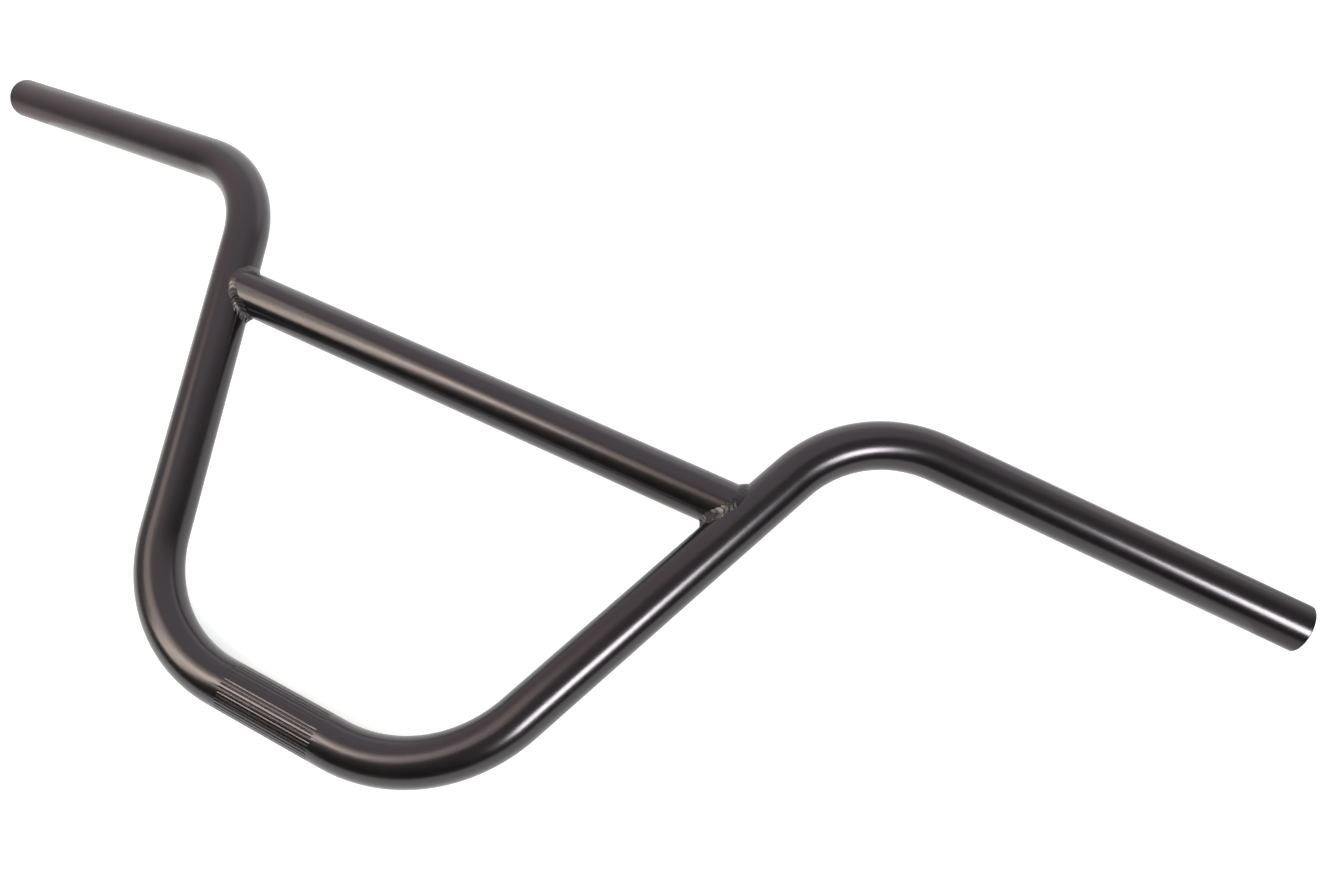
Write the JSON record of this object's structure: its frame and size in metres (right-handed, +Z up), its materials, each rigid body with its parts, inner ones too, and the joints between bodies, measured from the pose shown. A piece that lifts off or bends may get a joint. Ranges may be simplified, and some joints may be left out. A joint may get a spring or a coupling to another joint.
{
  "type": "bmx handlebar",
  "caption": "Two-tube steel handlebar with a straight cross tube welded between its uprights, a knurled clamp and swept-back grip ends, in satin black.",
  "frame": {"origin": "middle of the knurled clamp, on its axis", "axes": "+X across the bar along the clamp's axis; +Y from the clamp towards the grips, along the surface that the bar lies on; +Z up, out of the bar's front. The bar lies on its back, on the clamp and both bar ends."},
  "size_m": [0.7646, 0.264, 0.0603],
  "materials": {
    "satin_black_tube": "satin",
    "satin_black_weld": "satin"
  },
  "bodies": {
    "root": {"main_tube": "satin_black_tube", "cross_tube": "satin_black_tube", "left_weld_bead": "satin_black_weld", "right_weld_bead": "satin_black_weld"}
  },
  "joints": []
}
